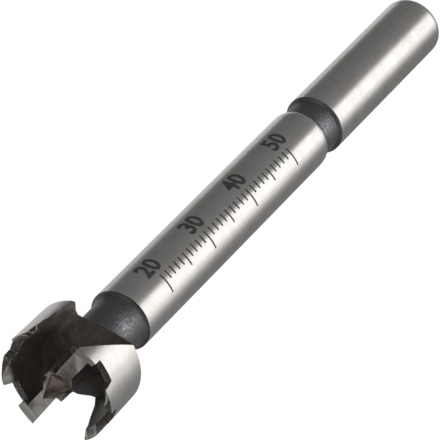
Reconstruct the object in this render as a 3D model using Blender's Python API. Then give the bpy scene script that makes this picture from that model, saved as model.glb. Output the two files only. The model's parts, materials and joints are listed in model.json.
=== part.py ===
"""A 15 mm forstner bit, lying on its side: one piece of steel, turned, milled and then ground.

The bit is made standing on its shank, in its cutting frame. +Z is its axis and points out of the
head, and the two main cutting edges lie in the plane z = 0: one runs along +Y and one along -Y.
Depths are counted from that plane towards the shank, so z = -depth. Angles are counted from +Y
towards +X, which is how far a point lies behind the cutting edge. The second half of the head is
the first one turned by half a turn. At the end the bit is laid down as it would come to rest.
"""

import math

import bmesh
import bpy
import numpy as np
from mathutils import Matrix, Vector

MM = 0.001

# Head
HEAD_DIAMETER = 15.0 * MM
HEAD_HEIGHT = 7.3 * MM
LAND_RELIEF = 0.25 * MM
LAND_RELIEF_SPAN = math.radians(30.0)
BACK_TAPER = 0.15 * MM
BACK_CHAMFER = 0.4 * MM

# Main cutting edges, on the two bars that carry them
EDGE_OFFSET = 1.2 * MM
EDGE_SLANT = 0.2 * MM
BAR_WIDTH = 1.95 * MM
HEEL_DROP = 0.33 * MM
RAKE_ANGLE = math.radians(30.0)
CORNER_LENGTH = 1.4 * MM
CORNER_DROP = 0.1 * MM

# Hollow behind each bar, inside the rim
RIM_WALL = 1.0 * MM
HOLLOW_LIP_DEPTH = 1.4 * MM
HOLLOW_KNEE_WALL = 1.75 * MM
HOLLOW_KNEE_DEPTH = 3.1 * MM
HOLLOW_FLOOR_WALL = 2.7 * MM
HOLLOW_DEPTH = 3.6 * MM
HOLLOW_FLOOR_FALL = 0.30
HOLLOW_END = math.radians(135.0)

# Corners of the core between the hollows, from the bar's heel round to the next throat, in mm
CORE_MM = (
    (0.75, 2.25),
    (1.2, 1.65),
    (1.65, 0.9),
    (1.75, -0.2),
    (1.7, -1.1),
    (1.45, -1.45),
    (1.9, -3.2),
)

# Chip throat ahead of each cutting edge, as its sections at the front and at the back of the head,
# in mm. Each starts at the foot of the rake face, follows the floor to the trough and climbs the far
# wall, which then runs on straight past the head.
THROAT_FRONT_MM = (
    (-1.0, 1.35),
    (-3.83, 0.76),
    (-4.22, -0.21),
    (-4.46, -0.41),
    (-4.82, 0.19),
    (-5.3, 1.32),
)
THROAT_BACK_MM = (
    (3.0, 6.3),
    (-1.27, 4.7),
    (-3.3, 3.38),
    (-3.9, 3.14),
    (-4.45, 3.42),
    (-5.3, 4.53),
)
THROAT_WALL_MM = ((-5.7, 7.03), (-5.7, 7.07))

# Teeth of the rim. A tooth rises from the valley before it to its tip, and then falls away.
TOOTH_FACES = (math.radians(34.0), math.radians(92.0))
TOOTH_FACE_SPAN = math.radians(2.5)
TOOTH_TIP_SPANS = (math.radians(4.5), math.radians(13.0))
TOOTH_FALL_SPAN = math.radians(25.0)
TOOTH_HEIGHT = 0.3 * MM
TOOTH_FALL = 0.7 * MM
VALLEY_START = math.radians(11.6)
VALLEY_DEPTHS = (1.15 * MM, 1.6 * MM)
RIM_END = math.radians(128.0)

# Bevels inside the teeth. A small wheel hollows the first tooth's, and the second's runs straight on.
BEVEL_LAND = 0.05 * MM
BEVEL_SLOPE = 1.0
WHEEL_RADIUS = 3.0 * MM
WHEEL_ANGLE = math.radians(46.0)
WHEEL_REACH = 2.0 * MM

# Centre point, with half the corners of its base in mm
POINT_HEIGHT = 2.75 * MM
POINT_BASE_MM = ((-1.12, 0.45), (1.16, 1.4), (1.66, 0.88), (1.68, -0.7), (1.52, -1.1))
POINT_BASE_DEPTH = 0.45 * MM
POINT_SEAT = 1.6 * MM
POINT_SEAT_SHARE = 0.85

# Neck and shank
NECK_DIAMETER = 6.8 * MM
NECK_LENGTH = 6.87 * MM
NECK_FILLET = 0.7 * MM
NECK_FLARE = 1.5 * MM
SHANK_DIAMETER = 8.0 * MM
SHANK_LENGTH = 73.25 * MM
SHANK_TOP_LENGTH = 26.6 * MM
GROOVE_WIDTH = 3.5 * MM
GROOVE_DEPTH = 0.42 * MM
GROOVE_SHOULDER = 0.4 * MM
COLLAR_CHAMFER = 0.25 * MM
COLLAR_CHAMFER_LENGTH = 1.2 * MM
END_CHAMFER = 0.35 * MM
END_CHAMFER_LENGTH = 0.9 * MM

# Fineness of the facets, and how far a cutter stands clear of what it cuts
ROUND_STEPS = 96
ARC_STEP = math.radians(5.0)
THROAT_STEPS = 6
HOLLOW_STEPS = 34
CLEAR = 3.0 * MM
FILLET_STEPS = 4
WHEEL_STEPS = 96

# How far the bit is rolled from its cutting frame, before the search for how it rests
ROLL_GUESS = math.radians(150.0)

# Lengths and radii that follow from the sizes above
HEAD_RADIUS = HEAD_DIAMETER / 2
NECK_RADIUS = NECK_DIAMETER / 2
SHANK_RADIUS = SHANK_DIAMETER / 2
NECK_END = HEAD_HEIGHT + NECK_LENGTH
SHANK_END = NECK_END + SHANK_LENGTH
GROOVE_END = SHANK_END - SHANK_TOP_LENGTH
GROOVE_START = GROOVE_END - GROOVE_WIDTH
HEEL_LINE = BAR_WIDTH - EDGE_OFFSET
LAND_RADIUS = HEAD_RADIUS - LAND_RELIEF


def polar(radius, angle):
    """The point at a radius and an angle, counted from +Y towards +X."""
    return radius * math.sin(angle), radius * math.cos(angle)


def steps_between(start, end, step=ARC_STEP):
    """Evenly spaced values from start to end, no further apart than a step."""
    return np.linspace(start, end, max(2, 1 + math.ceil(abs(end - start) / step)))


def keep(name, bm):
    """Puts a bmesh into a new object of that name."""
    bmesh.ops.triangulate(bm, faces=[face for face in bm.faces if len(face.verts) > 3])
    bmesh.ops.recalc_face_normals(bm, faces=bm.faces)
    mesh = bpy.data.meshes.new(name)
    bm.to_mesh(mesh)
    bm.free()
    obj = bpy.data.objects.new(name, mesh)
    bpy.context.scene.collection.objects.link(obj)
    return obj


def add_loft(bm, rings):
    """Adds a closed solid that runs through rings of as many points each."""
    loops = [[bm.verts.new(point) for point in ring] for ring in rings]
    count = len(rings[0])
    for near, far in zip(loops, loops[1:]):
        for i in range(count):
            j = (i + 1) % count
            bm.faces.new((near[i], near[j], far[j], far[i]))
    bm.faces.new(loops[0])
    bm.faces.new(loops[-1])


def half_turned(rings):
    """The same rings half a turn round the axis."""
    return [[(-x, -y, z) for x, y, z in ring] for ring in rings]


def cutter_of(name, *lofts):
    """A cutter made of one or more lofts that don't meet."""
    bm = bmesh.new()
    for rings in lofts:
        add_loft(bm, rings)
    cutter = keep(name, bm)
    cutter.hide_render = True
    cutter.display_type = "WIRE"
    return cutter


def cut_both(body, name, rings):
    """Cuts the same form from both halves of the head."""
    add_boolean(body, cutter_of(name, rings, half_turned(rings)), "DIFFERENCE")


def rounded(start_radius, start_depth, radial, axial, outward_first):
    """Points of a quarter round between two ends, by its reach along the radius and the axis."""
    points = []
    for step in range(FILLET_STEPS + 1):
        turn = math.pi / 2 * step / FILLET_STEPS
        if outward_first:
            share_r, share_a = math.sin(turn), 1 - math.cos(turn)
        else:
            share_r, share_a = 1 - math.cos(turn), math.sin(turn)
        points.append((start_radius + radial * share_r, start_depth + axial * share_a))
    return points


def turned_profile():
    """Radius and depth from the front of the blank to the end of the shank."""
    back_radius = HEAD_RADIUS - BACK_TAPER
    groove_radius = SHANK_RADIUS - GROOVE_DEPTH
    flare = SHANK_RADIUS - NECK_RADIUS
    return [
        (HEAD_RADIUS, -TOOTH_HEIGHT),
        (back_radius, HEAD_HEIGHT - BACK_CHAMFER),
        (back_radius - BACK_CHAMFER, HEAD_HEIGHT),
        *rounded(NECK_RADIUS + NECK_FILLET, HEAD_HEIGHT, -NECK_FILLET, NECK_FILLET, True),
        *rounded(NECK_RADIUS, NECK_END - NECK_FLARE, flare, NECK_FLARE, False),
        *rounded(
            SHANK_RADIUS,
            GROOVE_START - COLLAR_CHAMFER_LENGTH,
            -COLLAR_CHAMFER,
            COLLAR_CHAMFER_LENGTH,
            False,
        ),
        (groove_radius, GROOVE_START + COLLAR_CHAMFER),
        (groove_radius, GROOVE_END - GROOVE_SHOULDER),
        (SHANK_RADIUS, GROOVE_END),
        *rounded(
            SHANK_RADIUS,
            SHANK_END - END_CHAMFER_LENGTH,
            -END_CHAMFER,
            END_CHAMFER_LENGTH,
            False,
        ),
    ]


def land_relief(angle):
    """How far the outside of the head is ground back at an angle, so that only its corners cut."""
    behind = (angle + EDGE_OFFSET / HEAD_RADIUS) % math.pi
    if behind > math.pi - LAND_RELIEF_SPAN / 2:
        return 0.0
    share = min(behind / LAND_RELIEF_SPAN, 1.0)
    return LAND_RELIEF * share * (2 - share)


def turned_body():
    """The blank as the lathe leaves it, with the two outer lands of its head ground back."""
    bm = bmesh.new()
    profile = turned_profile()
    ends = ((0.0, profile[0][1]), (0.0, profile[-1][1]))
    points = [ends[0], *profile, ends[1]]
    verts = [bm.verts.new((0.0, radius, -depth)) for radius, depth in points]
    edges = [bm.edges.new(pair) for pair in zip(verts, verts[1:])]
    bmesh.ops.spin(
        bm,
        geom=verts + edges,
        cent=(0, 0, 0),
        axis=(0, 0, 1),
        angle=math.tau,
        steps=ROUND_STEPS,
        use_merge=True,
    )
    bmesh.ops.remove_doubles(bm, verts=bm.verts, dist=0.001 * MM)
    inside_rim = HEAD_RADIUS - BACK_TAPER - 1.5 * BACK_CHAMFER
    for vert in bm.verts:
        radius = math.hypot(vert.co.x, vert.co.y)
        if radius > inside_rim:
            share = 1 - land_relief(math.atan2(vert.co.x, vert.co.y)) / radius
            vert.co.x *= share
            vert.co.y *= share
    return keep("forstner_bit", bm)


def throat_section(corners, wall, rake):
    """One section of a chip throat, from the foot of the rake face to far past the head."""
    far = 1.5 * (HEAD_RADIUS + CLEAR)
    section = [(x * MM, y * MM) for x, y in corners]
    section.append((section[-1][0] + wall[0] * MM, section[-1][1] + wall[1] * MM))
    section.append((section[-1][0], far))
    section.append((rake - EDGE_OFFSET - EDGE_SLANT, far))
    section[0] = (rake - EDGE_OFFSET + EDGE_SLANT, section[0][1])
    return section


def throat_rings():
    """The chip throat: straight lines from its front section to its back one, past both faces."""
    front = throat_section(THROAT_FRONT_MM, THROAT_WALL_MM[0], 0.0)
    back = throat_section(THROAT_BACK_MM, THROAT_WALL_MM[1], math.tan(RAKE_ANGLE) * HEAD_HEIGHT)
    rings = []
    for depth in np.linspace(-CLEAR / 2, HEAD_HEIGHT + CLEAR / 2, THROAT_STEPS + 1):
        share = depth / HEAD_HEIGHT
        ring = [
            (x0 + (x1 - x0) * share, y0 + (y1 - y0) * share, -depth)
            for (x0, y0), (x1, y1) in zip(front, back)
        ]
        rings.append(ring)
    return rings


def hollow_rings():
    """The hollow behind a bar. Its wall follows the rim, and its floor falls towards the rim."""
    levels = (
        (-CLEAR, RIM_WALL),
        (HOLLOW_LIP_DEPTH, RIM_WALL),
        (HOLLOW_KNEE_DEPTH, HOLLOW_KNEE_WALL),
        (None, HOLLOW_FLOOR_WALL),
    )
    core = [(x * MM, y * MM) for x, y in CORE_MM]
    core[0] = (HEEL_LINE, core[0][1])
    rings = []
    for depth, wall in levels:
        radius = LAND_RADIUS - wall
        start = math.asin(HEEL_LINE / radius)
        angles = np.linspace(start, HOLLOW_END, HOLLOW_STEPS + 1)
        arc = [polar(radius, angle) for angle in angles]
        ring = []
        for x, y in arc + core[::-1]:
            floor = HOLLOW_DEPTH + HOLLOW_FLOOR_FALL * (x - HEEL_LINE)
            ring.append((x, y, -(floor if depth is None else depth)))
        rings.append(ring)
    return rings


def rim_stations():
    """Angle and depth of the rim's front, from behind the bar's corner to the wing's end."""
    stations = [(VALLEY_START, VALLEY_DEPTHS[0])]
    for face, tip_span, valley in zip(TOOTH_FACES, TOOTH_TIP_SPANS, VALLEY_DEPTHS):
        tip = face + TOOTH_FACE_SPAN
        fall = tip + tip_span
        end = min(fall + TOOTH_FALL_SPAN, RIM_END)
        drop = TOOTH_FALL * (end - fall) / TOOTH_FALL_SPAN
        stations += [(face, valley), (tip, -TOOTH_HEIGHT), (fall, -TOOTH_HEIGHT)]
        stations.append((end, drop - TOOTH_HEIGHT))
        if face != TOOTH_FACES[-1]:
            stations.append((end + TOOTH_FACE_SPAN / 2, VALLEY_DEPTHS[1]))
    fine = []
    for (a0, d0), (a1, d1) in zip(stations, stations[1:]):
        angles = steps_between(a0, a1) if d0 != d1 else [a0, a1]
        fine += [(a, d0 + (d1 - d0) * (a - a0) / (a1 - a0)) for a in angles[:-1]]
    return [*fine, stations[-1]]


def rim_rings():
    """What is ground off the front of the rim: the valleys and the fall behind each tooth's tip."""
    inner = 1.03 * HEEL_LINE / math.sin(VALLEY_START)
    outer = HEAD_RADIUS + CLEAR
    rings = []
    for angle, depth in rim_stations():
        ix, iy = polar(inner, angle)
        ox, oy = polar(outer, angle)
        rings.append([(ix, iy, CLEAR), (ox, oy, CLEAR), (ox, oy, -depth), (ix, iy, -depth)])
    return rings


def wheel_rings():
    """The wheel that hollows the first tooth's bevel: a cylinder that leans in over the tooth."""
    lean = math.atan(BEVEL_SLOPE)
    outward = Vector((*polar(1.0, WHEEL_ANGLE), 0.0))
    upward = Vector((0.0, 0.0, 1.0))
    sideways = outward.cross(upward)
    along = -outward * math.sin(lean) - upward * math.cos(lean)
    off_tooth = -outward * math.cos(lean) + upward * math.sin(lean)
    edge = outward * (LAND_RADIUS - BEVEL_LAND) + upward * TOOTH_HEIGHT
    rings = []
    for reach in (-CLEAR, WHEEL_REACH):
        centre = edge + along * reach + off_tooth * WHEEL_RADIUS
        ring = []
        for turn in np.linspace(0, math.tau, WHEEL_STEPS, endpoint=False):
            spoke = sideways * math.sin(turn) - off_tooth * math.cos(turn)
            ring.append(tuple(centre + spoke * WHEEL_RADIUS))
        rings.append(ring)
    return rings


def bevel_rings():
    """The bevel inside the second tooth, from its face to the end of the rim."""
    inner = 1.03 * HEEL_LINE / math.sin(VALLEY_START)
    top = -TOOTH_HEIGHT - CLEAR / 3
    edge = LAND_RADIUS - BEVEL_LAND
    bottom = (RIM_WALL - BEVEL_LAND) / BEVEL_SLOPE + HOLLOW_LIP_DEPTH / 2
    section = (
        (inner, top),
        (edge + BEVEL_SLOPE * (-TOOTH_HEIGHT - top), top),
        (edge - BEVEL_SLOPE * (bottom + TOOTH_HEIGHT), bottom),
        (inner, bottom),
    )
    rings = []
    for angle in steps_between(TOOTH_FACES[1] - TOOTH_FACE_SPAN / 2, RIM_END):
        rings.append([(*polar(radius, angle), -depth) for radius, depth in section])
    return rings


def flank_rings():
    """What is ground off above a bar, so that the bar falls away behind its cutting edge."""
    slope = HEEL_DROP / BAR_WIDTH
    past = CORE_MM[-1][0] * MM + 0.4 * MM
    before = 4 * EDGE_OFFSET
    corner_slope = CORNER_DROP / BAR_WIDTH
    sections = (
        (-0.02 * MM, slope),
        (HEAD_RADIUS - CORNER_LENGTH, slope),
        (HEAD_RADIUS - 0.2 * CORNER_LENGTH, corner_slope),
        (HEAD_RADIUS + CLEAR, corner_slope),
    )
    rings = []
    for y, fall in sections:
        rings.append(
            [
                (-before, y, CLEAR),
                (past, y, CLEAR),
                (past, y, -fall * (past + EDGE_OFFSET)),
                (-before, y, -fall * (EDGE_OFFSET - before)),
            ]
        )
    return rings


def centre_point():
    """The centre point: a ground pyramid, on a seat of the same outline inside the core."""
    half = [(x * MM, y * MM) for x, y in POINT_BASE_MM]
    base = half + [(-x, -y) for x, y in half]
    bm = bmesh.new()
    tip = bm.verts.new((0, 0, POINT_HEIGHT))
    top = [bm.verts.new((x, y, -POINT_BASE_DEPTH)) for x, y in base]
    seat = [(x * POINT_SEAT_SHARE, y * POINT_SEAT_SHARE) for x, y in base]
    foot = [bm.verts.new((x, y, -POINT_SEAT)) for x, y in seat]
    for i in range(len(base)):
        j = (i + 1) % len(base)
        bm.faces.new((top[i], top[j], tip))
        bm.faces.new((foot[i], foot[j], top[j], top[i]))
    bm.faces.new(foot)
    point = keep("centre_point", bm)
    point.hide_render = True
    point.display_type = "WIRE"
    return point


def add_boolean(body, other, operation):
    """Joins or cuts the body with another object, which then moves with the body."""
    modifier = body.modifiers.new(other.name, "BOOLEAN")
    modifier.operation = operation
    modifier.solver = "EXACT"
    modifier.object = other
    other.parent = body


def evaluated_points(obj):
    """The points of an object, with its modifiers applied, in its own frame."""
    bpy.context.view_layer.update()
    mesh = obj.evaluated_get(bpy.context.evaluated_depsgraph_get()).data
    points = np.empty(len(mesh.vertices) * 3, np.float32)
    mesh.vertices.foreach_get("co", points)
    return points.reshape(-1, 3).astype(float)


def support_slope(along, height, centre):
    """Slope and height of the line that a lying outline rests on below its centre of mass."""
    order = np.argsort(along)
    chain = []
    for i in order:
        point = (along[i], height[i])
        while len(chain) > 1:
            (x0, y0), (x1, y1) = chain[-2:]
            if (x1 - x0) * (point[1] - y0) - (y1 - y0) * (point[0] - x0) > 0:
                break
            chain.pop()
        chain.append(point)
    for (x0, y0), (x1, y1) in zip(chain, chain[1:]):
        if x0 <= centre <= x1:
            return (y1 - y0) / (x1 - x0), y0 + (y1 - y0) / (x1 - x0) * (centre - x0)
    return 0.0, 0.0


def lying_pose(points):
    """The pose in which the bit rests on its head and on its shank's end, with its axis along Y."""
    lay = Matrix.Rotation(math.pi / 2, 4, "X")
    centre = -0.55 * SHANK_END
    outside = points[np.hypot(points[:, 0], points[:, 1]) > 0.45 * SHANK_DIAMETER]

    def rest(roll):
        height = outside[:, 0] * math.sin(roll) + outside[:, 1] * math.cos(roll)
        slope, at_centre = support_slope(outside[:, 2], height, centre)
        return -at_centre * math.cos(math.atan(slope)), slope

    best = ROLL_GUESS
    for span in (0.3, 0.01, 0.0004):
        rolls = np.linspace(best - span, best + span, 61)
        best = min(rolls, key=lambda roll: rest(roll)[0])
    slope = rest(best)[1]
    turned = Matrix.Rotation(best, 4, "Z")
    return Matrix.Rotation(math.atan(slope), 4, "X") @ lay @ turned


def painted(obj):
    """One steel material for the whole bit."""
    steel = bpy.data.materials.new("steel")
    steel.use_nodes = True
    shader = steel.node_tree.nodes["Principled BSDF"]
    shader.inputs["Base Color"].default_value = (0.55, 0.54, 0.52, 1.0)
    shader.inputs["Metallic"].default_value = 1.0
    shader.inputs["Roughness"].default_value = 0.35
    obj.data.materials.append(steel)


def build():
    for obj in list(bpy.data.objects):
        bpy.data.objects.remove(obj)
    body = turned_body()
    painted(body)
    body.data.shade_smooth()
    body.data.set_sharp_from_angle(angle=math.radians(28))
    cut_both(body, "chip_throats", throat_rings())
    cut_both(body, "hollows", hollow_rings())
    cut_both(body, "rim_fronts", rim_rings())
    cut_both(body, "tooth_1_bevels", wheel_rings())
    cut_both(body, "tooth_2_bevels", bevel_rings())
    add_boolean(body, cutter_of("flank_1", flank_rings()), "DIFFERENCE")
    add_boolean(body, cutter_of("flank_2", half_turned(flank_rings())), "DIFFERENCE")
    add_boolean(body, centre_point(), "UNION")
    points = evaluated_points(body)
    pose = lying_pose(points)
    laid = points @ np.array(pose.to_3x3()).T
    low, high = laid.min(axis=0), laid.max(axis=0)
    drop = Vector(((low[0] + high[0]) / -2, (low[1] + high[1]) / -2, -low[2]))
    body.matrix_world = Matrix.Translation(drop) @ pose


build()
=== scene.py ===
"""A 15 mm forstner bit on a white table, in soft studio light.

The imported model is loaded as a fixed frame. The bit is then dressed in its finishes: ground bright on
the shank, the outer lands, the bars and the teeth, and black oxide everywhere else. Shapes are worked
out in the bit's cutting frame: +Z is its axis and points out of the head, the two main cutting edges
lie along +Y and -Y in the plane z = 0, and depths are counted from that plane towards the shank.
Angles about the axis are counted from +Y towards +X. Where nothing else is said, lengths are metres.
"""

import json
import math

import bmesh
import bpy
import numpy as np
from mathutils import Matrix, Vector


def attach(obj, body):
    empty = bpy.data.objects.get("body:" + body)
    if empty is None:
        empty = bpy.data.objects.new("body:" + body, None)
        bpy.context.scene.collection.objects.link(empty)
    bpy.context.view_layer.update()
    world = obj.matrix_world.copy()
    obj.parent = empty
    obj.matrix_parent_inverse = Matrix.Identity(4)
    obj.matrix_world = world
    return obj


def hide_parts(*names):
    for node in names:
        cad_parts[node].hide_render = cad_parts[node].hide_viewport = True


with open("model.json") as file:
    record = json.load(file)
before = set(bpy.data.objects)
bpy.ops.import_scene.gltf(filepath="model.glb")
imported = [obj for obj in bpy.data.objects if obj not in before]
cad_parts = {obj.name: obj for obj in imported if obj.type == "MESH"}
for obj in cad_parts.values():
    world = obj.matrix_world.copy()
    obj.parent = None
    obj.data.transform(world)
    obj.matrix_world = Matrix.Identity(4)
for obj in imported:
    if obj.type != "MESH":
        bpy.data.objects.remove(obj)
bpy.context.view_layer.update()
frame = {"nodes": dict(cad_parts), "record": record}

bl_info = {
    "name": "Forstner bit",
    "version": (1, 0, 0),
    "blender": (4, 5, 0),
    "location": "View3D > Sidebar > Forstner bit",
    "description": "Dresses a lying forstner bit in ground steel and black oxide, and lights it",
    "category": "Object",
}

MM = 0.001
NODE = "forstner_bit"
BODY = "root"

# Finishes of the bit's faces, in the order of its material slots
OXIDE, SHANK, LAND, BAR, POINT, TOOTH = range(6)

# Name of the attribute that holds each point's place in the cutting frame, in millimetres, and of the
# one that says whether the sharp edges at a point stand out (1) or lie in a corner (0)
PLACE = "cut_place"
RIDGE = "ridge"

# How much of the relief's slope the lands' shading shows: with all of it, the highlight starts at the
# cutting corner, and the photograph's starts farther round
LEAN_SHOWN = 0.25

# Points of the CAD mesh that are this close become one, and edges shorter than the second length go
MERGE_DISTANCE = 0.0005 * MM
SHORTEST_EDGE = 0.0002 * MM

# Edges that fold more than this are shaded sharp, and those that fold more than the second can be worn
SHARP_ANGLE = math.radians(28.0)
WORN_ANGLE = math.radians(20.0)

# Depth that one unit of v covers in the UV map
UV_DEPTH = 25 * MM

# Keep divisions by a length, and by a sum of areas, away from nought
TINY_LENGTH = 1e-9
TINY_SUM = 1e-12

# How far a cutting corner may lie above or below the plane of the edges
CORNER_SLACK = 0.03 * MM

# The outer ends of the bars: how far inside the head's radius their twist is complete, and how far the
# cutting edge leans forwards on the way there
TWIST_INSET = 0.28 * MM
EDGE_LEAN = 0.043 * MM

# What counts as the top of a bar there: how deep it lies, how far it reaches before the edge and
# behind the heel, and the least share of its normal that points out of the head. The front of a bar
# has at least the last share of its normal pointing the way that the edge cuts.
TOP_DEPTH = 0.6 * MM
EDGE_MARGIN = 0.05 * MM
HEEL_MARGIN = 0.8 * MM
TOP_FORWARD = 0.85
FRONT_AHEAD = 0.5

# Where the ground faces are: the least share of the shank's radius, the shank's end with its chamfer,
# the strip left black at the head's back, the skin of the lands, the depth of the bars' tops and their
# reach from the middle plane, the depth and radius of the centre point, and the depth and width of the
# teeth's bevels
SHANK_SKIN_SHARE = 0.97
SHANK_TIP = 1.0 * MM
BACK_STRIP = 0.1 * MM
LAND_SKIN = 0.7 * MM
BAR_DEPTH, BAR_REACH = 0.7 * MM, 2.0 * MM
POINT_DEPTH, POINT_REACH = 0.45 * MM, 2.0 * MM
TOOTH_DEPTH, TOOTH_WIDTH = 1.3 * MM, 1.8 * MM

# Which way they face: the least shares of their normals that point outwards and forwards. A tooth's
# bevel points inwards, by at least the first of its two shares.
SHANK_OUTWARD = 0.6
LAND_OUTWARD = 0.9
BAR_FORWARD = 0.95
POINT_FORWARD = 0.2
TOOTH_OUTWARD, TOOTH_FORWARD = -0.4, 0.3

# Turned faces start this far before the head's back, and at most the second share of their normals
# points about the axis. This close to the axis, they keep the mesh's own normals.
TURNED_MARGIN = 0.5 * MM
TURNED_ROUND = 0.05
AXIS_GAP = 0.5 * MM

# The most that a turned face differs from a neighbour that it is evened out with, and that a face of a
# land differs from the true normal that it gets
EVENED_ANGLE = math.radians(15.0)
LAND_ANGLE = math.radians(9.0)


class BitSizes(bpy.types.PropertyGroup):
    """Sizes of the bit that tell its faces apart. They repeat the CAD part's own."""

    head_diameter: bpy.props.FloatProperty(
        name="Head diameter", description="Across the cutting corners", default=0.015, unit="LENGTH"
    )
    head_height: bpy.props.FloatProperty(
        name="Head height", description="From the cutting edges to the back face", default=0.0073,
        unit="LENGTH",
    )
    corner_offset: bpy.props.FloatProperty(
        name="Corner offset", description="Of the cutting corners from the middle plane",
        default=0.001165, unit="LENGTH",
    )
    bar_width: bpy.props.FloatProperty(
        name="Bar width", description="Of each bar, behind its cutting edge", default=0.00195,
        unit="LENGTH",
    )
    edge_offset: bpy.props.FloatProperty(
        name="Edge offset", description="Of the bars' highest line from the middle plane",
        default=0.0012, unit="LENGTH",
    )
    heel_drop: bpy.props.FloatProperty(
        name="Heel drop", description="Fall of a bar's top from its edge to its heel",
        default=0.00033, unit="LENGTH",
    )
    corner_drop: bpy.props.FloatProperty(
        name="Corner drop", description="The same at the outer end of the bar", default=0.0001,
        unit="LENGTH",
    )
    corner_length: bpy.props.FloatProperty(
        name="Corner length", description="Of the stretch of the bar that turns from one to the other",
        default=0.00112, unit="LENGTH",
    )
    land_relief: bpy.props.FloatProperty(
        name="Land relief", description="Ground off the outside behind the corners",
        default=0.00025, unit="LENGTH",
    )
    relief_span: bpy.props.FloatProperty(
        name="Relief span", description="Turn over which the relief is reached",
        default=math.radians(30.0), unit="ROTATION",
    )
    point_height: bpy.props.FloatProperty(
        name="Point height", description="Of the centre point over the cutting edges",
        default=0.00275, unit="LENGTH",
    )
    shank_start: bpy.props.FloatProperty(
        name="Shank start", description="From the cutting edges to the ground shank",
        default=0.01417, unit="LENGTH",
    )
    shank_diameter: bpy.props.FloatProperty(
        name="Shank diameter", description="Of the ground shank", default=0.008, unit="LENGTH"
    )


class BitFinishes(bpy.types.PropertyGroup):
    """Colours of the bit's finishes."""

    steel: bpy.props.FloatVectorProperty(
        name="Ground steel", description="Colour of the shank and the outer lands", subtype="COLOR",
        size=3, default=(0.645, 0.632, 0.617), min=0.0, max=1.0,
    )
    bar_steel: bpy.props.FloatVectorProperty(
        name="Bar steel", description="Colour of the duller ground bars", subtype="COLOR",
        size=3, default=(0.33, 0.315, 0.295), min=0.0, max=1.0,
    )
    temper: bpy.props.FloatVectorProperty(
        name="Temper brown", description="Colour that grinding heat left round the point",
        subtype="COLOR", size=3, default=(0.2, 0.165, 0.135), min=0.0, max=1.0,
    )
    oxide: bpy.props.FloatVectorProperty(
        name="Black oxide", description="Colour of the blackened faces", subtype="COLOR",
        size=3, default=(0.068, 0.058, 0.050), min=0.0, max=1.0,
    )
    sparkle: bpy.props.FloatVectorProperty(
        name="Sparkle", description="Colour of the bright grains in the black oxide",
        subtype="COLOR", size=3, default=(0.27, 0.275, 0.31), min=0.0, max=1.0,
    )
    marking: bpy.props.FloatVectorProperty(
        name="Marking", description="Colour of the depth scale on the shank", subtype="COLOR",
        size=3, default=(0.05, 0.047, 0.043), min=0.0, max=1.0,
    )


class ScaleSizes(bpy.types.PropertyGroup):
    """The depth scale on the shank: a tick for each millimetre and a number for each ten."""

    first: bpy.props.IntProperty(name="First", description="First depth, in mm", default=20)
    last: bpy.props.IntProperty(name="Last", description="Last depth, in mm", default=50)
    digit_height: bpy.props.FloatProperty(
        name="Digit height", description="Of the numbers, round the shank", default=0.0025,
        unit="LENGTH",
    )
    tick_width: bpy.props.FloatProperty(
        name="Tick width", description="Of each tick, along the shank", default=0.00026,
        unit="LENGTH",
    )
    ground_angle: bpy.props.FloatProperty(
        name="Base line", description="Angle of the line on which the numbers stand",
        default=math.radians(-7.0), unit="ROTATION",
    )


class StageSettings(bpy.types.PropertyGroup):
    """The table, the lamps and the world."""

    key_power: bpy.props.FloatProperty(
        name="Key power", description="Of the long lamp behind the bit, in watts", default=1.9
    )
    fill_power: bpy.props.FloatProperty(
        name="Fill power", description="Of the lamp beside the camera, in watts", default=0.6
    )
    background: bpy.props.FloatVectorProperty(
        name="Background", description="Colour of the table and the backdrop", subtype="COLOR",
        size=3, default=(1.0, 1.0, 1.0), min=0.0, max=1.0,
    )
    table_sheen: bpy.props.FloatProperty(
        name="Table in the metal", description="Brightness of the table as the steel mirrors it",
        default=0.72, min=0.0, max=1.0, subtype="FACTOR",
    )


def shank_mount():
    """The record's entry for the flat end of the shank."""
    for entry in frame["record"]["mounts"]:
        if entry["name"] == "shank_end":
            return entry
    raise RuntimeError("the record has no mount named shank_end")


def mesh_points(mesh):
    """The mesh's points, one row each."""
    points = np.empty(len(mesh.vertices) * 3, np.float32)
    mesh.vertices.foreach_get("co", points)
    return points.reshape(-1, 3).astype(float)


def place_points(mesh, matrix, points):
    """Puts the mesh's points at places given in the cutting frame."""
    matrix = np.array(matrix)
    world = points @ matrix[:3, :3].T + matrix[:3, 3]
    mesh.vertices.foreach_set("co", world.astype(np.float32).ravel())


def corner_owners(mesh):
    """The numbers of the face and of the point that each face corner belongs to."""
    face_of = np.repeat(np.arange(len(mesh.polygons)), [p.loop_total for p in mesh.polygons])
    vertex_of = np.empty(len(mesh.loops), np.int32)
    mesh.loops.foreach_get("vertex_index", vertex_of)
    return face_of, vertex_of


def add_object(name, data):
    """A new object in the scene, with its mesh, text, lamp or camera."""
    thing = bpy.data.objects.new(name, data)
    bpy.context.scene.collection.objects.link(thing)
    return thing


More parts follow.
